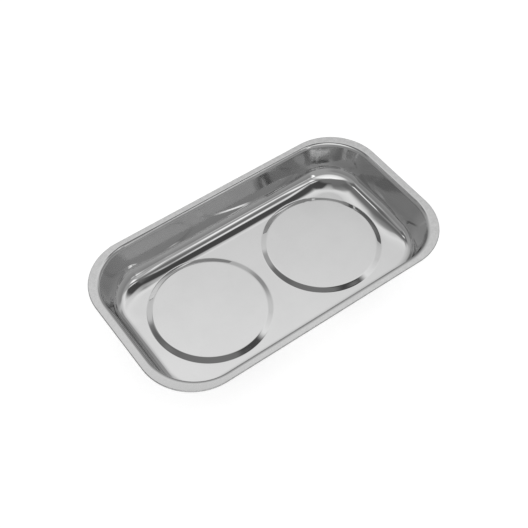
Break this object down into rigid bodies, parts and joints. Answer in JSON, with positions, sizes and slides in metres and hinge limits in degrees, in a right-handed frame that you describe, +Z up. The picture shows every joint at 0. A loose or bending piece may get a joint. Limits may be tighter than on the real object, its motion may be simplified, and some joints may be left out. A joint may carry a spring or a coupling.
{
  "type": "magnetic parts tray",
  "caption": "Shallow oblong stainless steel tray with a flat hemmed rim, held to steel by rubber-covered pot magnets under round seats in its floor, for keeping small steel parts.",
  "frame": {"origin": "on the bench, midway between the two magnet feet and under the middle of the tray", "axes": "+X along the tray's length, +Y across it, +Z up out of the tray's mouth"},
  "size_m": [0.24, 0.137, 0.0393],
  "materials": {
    "stainless_steel": "polished",
    "boot_rubber": "matte",
    "cup_steel": "satin",
    "ferrite": "matte",
    "spacer_plastic": "satin",
    "bond_foam": "matte"
  },
  "bodies": {
    "root": {"tray_pan": "stainless_steel", "left_bond_pad": "bond_foam", "left_magnet_cup": "cup_steel", "left_ferrite_ring": "ferrite", "left_spacer_ring": "spacer_plastic", "left_rubber_boot": "boot_rubber", "right_bond_pad": "bond_foam", "right_magnet_cup": "cup_steel", "right_ferrite_ring": "ferrite", "right_spacer_ring": "spacer_plastic", "right_rubber_boot": "boot_rubber"}
  },
  "joints": []
}
